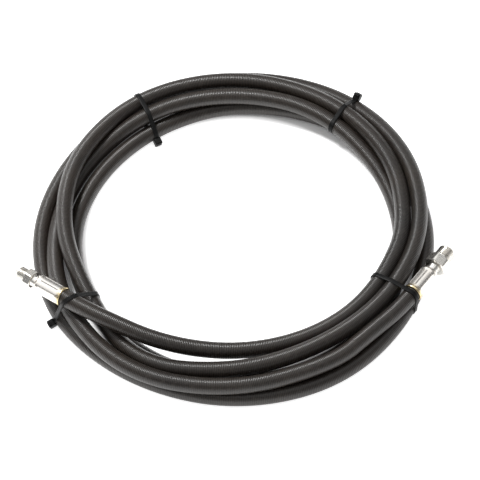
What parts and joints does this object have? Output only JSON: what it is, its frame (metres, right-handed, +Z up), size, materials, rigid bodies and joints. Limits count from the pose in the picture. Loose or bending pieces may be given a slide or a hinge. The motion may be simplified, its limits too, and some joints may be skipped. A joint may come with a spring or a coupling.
{
  "type": "hydraulic hose assembly",
  "caption": "Coiled black rubber hydraulic hose with a crimped steel male fitting on each end, one smaller and one larger, its turns tied together with black nylon cable ties",
  "frame": {"origin": "middle of the object's box in plan, on the surface it lies on", "axes": "+X along the longest extent of the coil, from the smaller fitting to the larger one; +Y away from the side where the hose's ends overlap; +Z up, out of the plane of the coil"},
  "size_m": [0.4598, 0.4326, 0.0569],
  "materials": {
    "hose_rubber": "dull black rubber cover with a fine cloth-wrapped texture",
    "tube_rubber": "smooth black nitrile",
    "braid_wire": "brass-coated steel wire braid",
    "ferrule_steel": "zinc-plated steel, bright, with crimping marks",
    "stem_steel": "zinc-plated machined steel",
    "tie_nylon": "black nylon, satin"
  },
  "bodies": {
    "root": {"hose_coil": "hose_rubber", "hose_left_run": "hose_rubber", "hose_right_run": "hose_rubber", "left_ferrule": "ferrule_steel", "left_stem": "stem_steel", "left_inner_tube": "tube_rubber", "left_inner_braid": "braid_wire", "left_bonding_layer": "tube_rubber", "left_outer_braid": "braid_wire", "left_cover_end": "hose_rubber", "right_ferrule": "ferrule_steel", "right_stem": "stem_steel", "right_inner_tube": "tube_rubber", "right_inner_braid": "braid_wire", "right_bonding_layer": "tube_rubber", "right_outer_braid": "braid_wire", "right_cover_end": "hose_rubber", "back_left_tie": "tie_nylon", "back_right_tie": "tie_nylon", "front_left_tie": "tie_nylon", "front_right_tie": "tie_nylon"}
  },
  "joints": []
}
